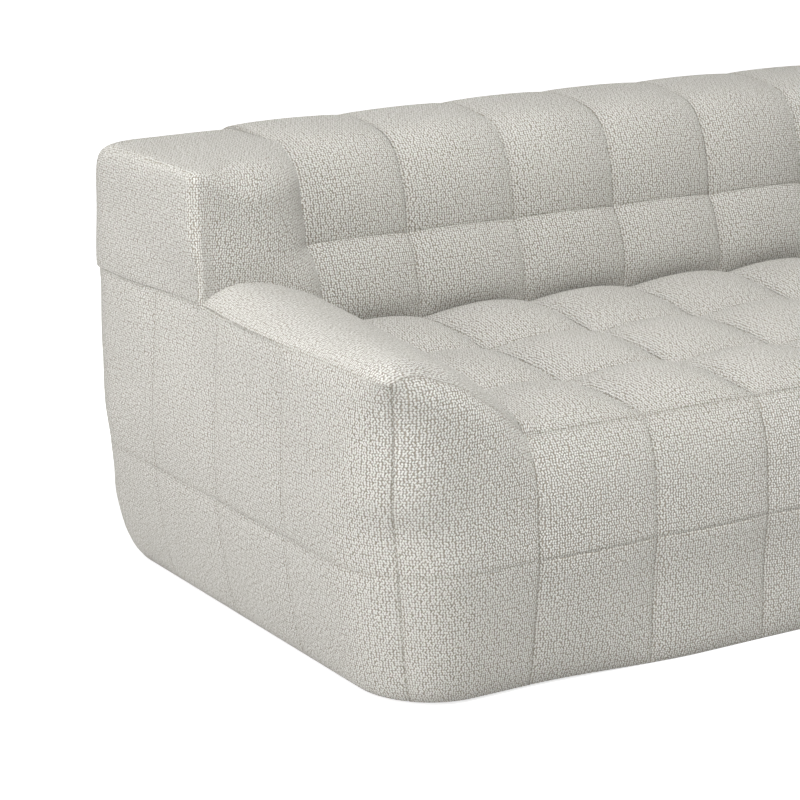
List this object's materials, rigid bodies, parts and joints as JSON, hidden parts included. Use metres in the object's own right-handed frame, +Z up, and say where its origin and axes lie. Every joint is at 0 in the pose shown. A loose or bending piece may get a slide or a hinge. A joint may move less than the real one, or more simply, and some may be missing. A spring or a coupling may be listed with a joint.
{
  "type": "sofa",
  "caption": "Long low upholstered sofa with a grid-quilted seat and back, arms that fall in an S curve from taller end blocks, and quilted borders down to the floor.",
  "frame": {"origin": "centre of the length and of the depth, on the floor under the glides", "axes": "+X along the length, to the right of a viewer who faces the seat; +Y from the front to the back; +Z up"},
  "size_m": [2.4008, 0.9853, 0.7151],
  "materials": {
    "upholstery": "matte",
    "foam": "matte",
    "felt": "matte",
    "dust_cloth": "matte",
    "webbing": "matte",
    "spring_steel": "satin",
    "glide_plastic": "matte",
    "plywood": "matte",
    "timber": "matte"
  },
  "bodies": {
    "root": {"arm_foam_left": "foam", "arm_foam_right": "foam", "arm_front_left": "upholstery", "arm_front_right": "upholstery", "arm_inner_panel_left": "plywood", "arm_inner_panel_right": "plywood", "arm_outer_panel_left": "plywood", "arm_outer_panel_right": "plywood", "arm_pad_left": "upholstery", "arm_pad_right": "upholstery", "arm_top_board_left": "plywood", "arm_top_board_right": "plywood", "back_foam": "foam", "back_mid_rails": "timber", "back_pad": "upholstery", "back_post_1": "timber", "back_post_2": "timber", "back_post_3": "timber", "back_post_4": "timber", "back_top_rail": "timber", "back_webbing": "webbing", "block_front_board_left": "plywood", "block_front_board_right": "plywood", "block_top_board_left": "plywood", "block_top_board_right": "plywood", "corner_blocks": "timber", "cross_rail_1": "timber", "cross_rail_2": "timber", "cross_rail_3": "timber", "cross_rail_4": "timber", "dust_cover": "dust_cloth", "end_block_left": "upholstery", "end_block_right": "upholstery", "end_rail_left": "timber", "end_rail_right": "timber", "frame_bolts": "spring_steel", "front_board": "plywood", "front_border": "upholstery", "front_rail": "timber", "glides": "glide_plastic", "rear_border": "upholstery", "rear_rail": "timber", "rear_seat_board": "plywood", "seat_foam": "foam", "seat_pad": "upholstery", "seat_springs": "spring_steel", "side_border_left": "upholstery", "side_border_right": "upholstery", "spring_clips": "spring_steel", "spring_felt": "felt", "spring_ties": "spring_steel"}
  },
  "joints": []
}
